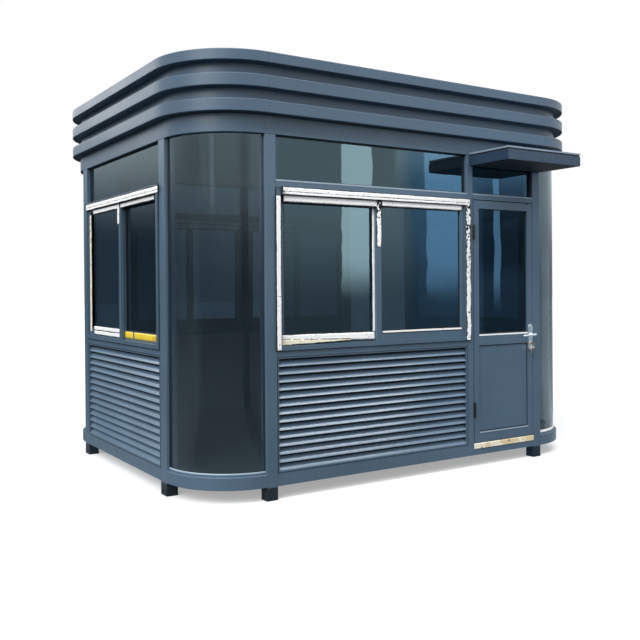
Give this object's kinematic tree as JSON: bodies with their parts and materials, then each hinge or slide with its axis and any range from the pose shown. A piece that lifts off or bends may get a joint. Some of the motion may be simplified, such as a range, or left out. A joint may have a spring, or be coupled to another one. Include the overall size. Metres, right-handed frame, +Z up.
{
  "type": "security guard booth",
  "caption": "Steel guard booth with curved glass corners, sliding windows, louvred lower panels, a hinged glazed door under a small canopy and a banded parapet.",
  "frame": {"origin": "on the ground, under the centre of the overall box (parapet and canopy included)", "axes": "+X along the long front wall towards the door, +Y from the door wall to the rear wall, +Z up"},
  "size_m": [3.56, 3.16, 2.834],
  "materials": {
    "booth_paint": "satin",
    "window_coating": "satin",
    "tinted_glass": "gloss",
    "floor_covering": "matte",
    "wall_lining": "satin",
    "ceiling_lining": "satin",
    "roof_sheet": "satin",
    "threshold_metal": "satin",
    "hinge_black": "satin",
    "lock_steel": "satin",
    "lock_brass": "satin",
    "key_metal": "satin"
  },
  "bodies": {
    "booth": {"foot_plates": "booth_paint", "corner_posts": "booth_paint", "base_beams": "booth_paint", "base_corner_beams": "booth_paint", "door_hinge_post": "booth_paint", "rear_middle_post": "booth_paint", "sill_rails": "booth_paint", "transom_rails": "booth_paint", "louvre_frames": "booth_paint", "front_louvre_blades": "booth_paint", "left_louvre_blades": "booth_paint", "right_louvre_blades": "booth_paint", "rear_louvre_blades": "booth_paint", "corner_glass_channels": "booth_paint", "head_rail": "booth_paint", "parapet_wall": "booth_paint", "lower_parapet_band": "booth_paint", "middle_parapet_band": "booth_paint", "top_parapet_band": "booth_paint", "door_canopy": "booth_paint", "door_stops": "booth_paint", "floor_deck": "floor_covering", "wall_panels": "wall_lining", "ceiling_panel": "ceiling_lining", "roof_deck": "roof_sheet", "corner_glass": "tinted_glass", "transom_glass": "tinted_glass", "front_window_glass": "tinted_glass", "side_window_glass": "tinted_glass", "rear_window_glass": "tinted_glass", "front_window_frame": "window_coating", "side_window_frames": "window_coating", "rear_window_frames": "window_coating", "front_window_sashes": "window_coating", "side_window_sashes": "window_coating", "rear_window_sashes": "window_coating", "door_threshold": "threshold_metal", "door_hinge_frame_halves": "hinge_black"},
    "door": {"door_leaf_frame": "booth_paint", "door_panel": "booth_paint", "door_glass": "tinted_glass", "door_hinge_leaf_halves": "hinge_black", "door_lock_plates": "lock_steel", "door_lock_cylinder": "lock_brass", "door_keys": "key_metal"},
    "lever": {"door_lever": "lock_steel"}
  },
  "joints": [
    {"name": "door_hinge", "type": "hinge", "parent": "booth", "child": "door", "pos_m": [0.533, -1.189, 1.092], "axis": [0, 0, -1], "range_deg": [0, 100]},
    {"name": "lever_turn", "type": "hinge", "parent": "door", "child": "lever", "pos_m": [1.128, -1.18, 0.97], "axis": [0, -1, 0], "range_deg": [0, 40], "stiffness_Nm_per_rad": 1.5, "springref_deg": -22.92}
  ]
}
